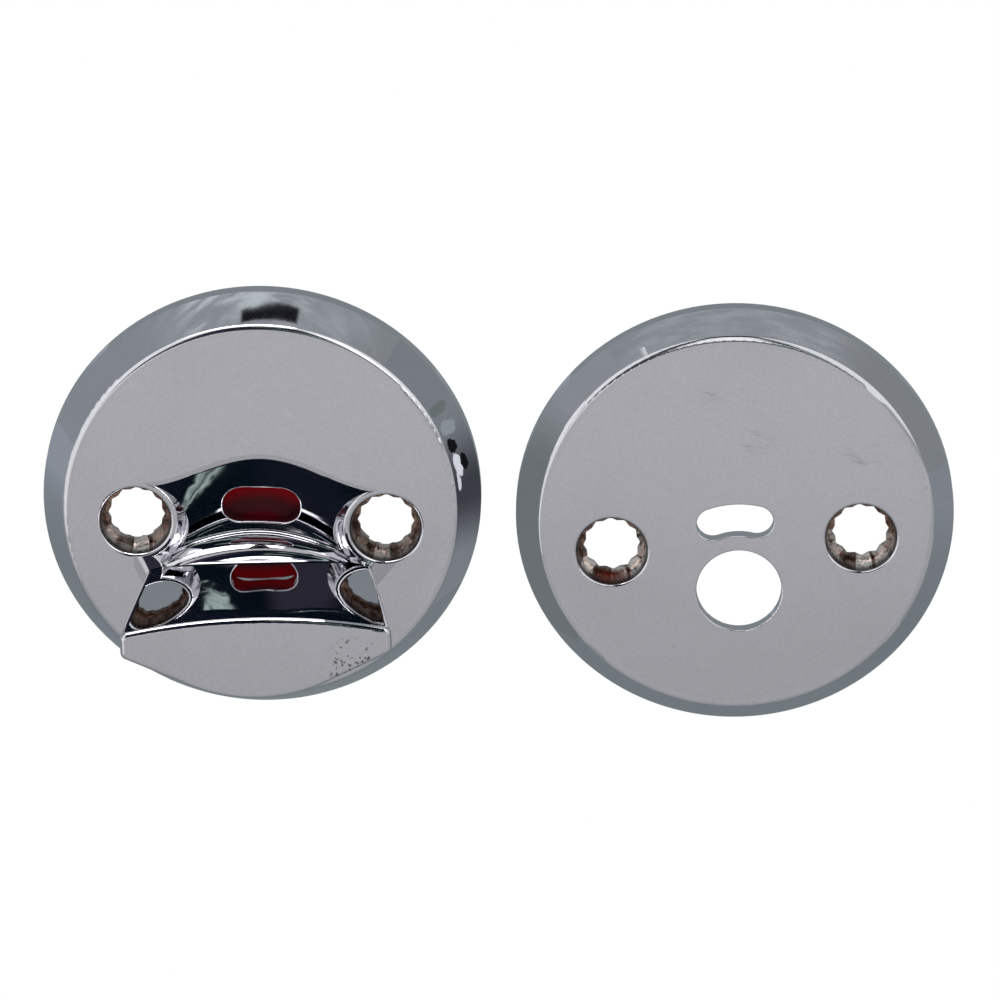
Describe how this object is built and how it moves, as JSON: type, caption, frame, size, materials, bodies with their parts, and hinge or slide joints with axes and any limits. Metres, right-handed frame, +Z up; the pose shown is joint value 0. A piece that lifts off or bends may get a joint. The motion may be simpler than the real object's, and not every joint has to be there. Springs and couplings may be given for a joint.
{
  "type": "bathroom thumb turn lock",
  "caption": "Round bevelled bathroom lock rosettes: an inside half with a winged thumb turn, finger scoop and red indicator window, and an outside half with slot and spindle bore.",
  "frame": {"origin": "on the spindle axis of the inside half, in the plane of the door face that both backs rest on", "axes": "+X to the right as the face is looked at, +Z up the door, -Y out of the door through the faces"},
  "size_m": [0.1389, 0.0275, 0.0673],
  "materials": {
    "plated_casting": "bright chrome plate on a zinc die casting",
    "plated_grip": "bright chrome plate on a zinc die casting",
    "spring_steel": "plain spring steel",
    "indicator_red": "gloss red with a white sector"
  },
  "bodies": {
    "rosettes": {"inner_rosette": "plated_casting", "outer_rosette": "plated_casting", "friction_washer": "spring_steel"},
    "turn": {"thumb_turn": "plated_grip", "indicator_disc": "indicator_red", "retaining_clip": "spring_steel"}
  },
  "joints": [
    {"name": "turn_hinge", "type": "hinge", "parent": "rosettes", "child": "turn", "pos_m": [0, 0, 0], "axis": [0, -1, 0], "range_deg": [-3.2, 86.8]}
  ]
}
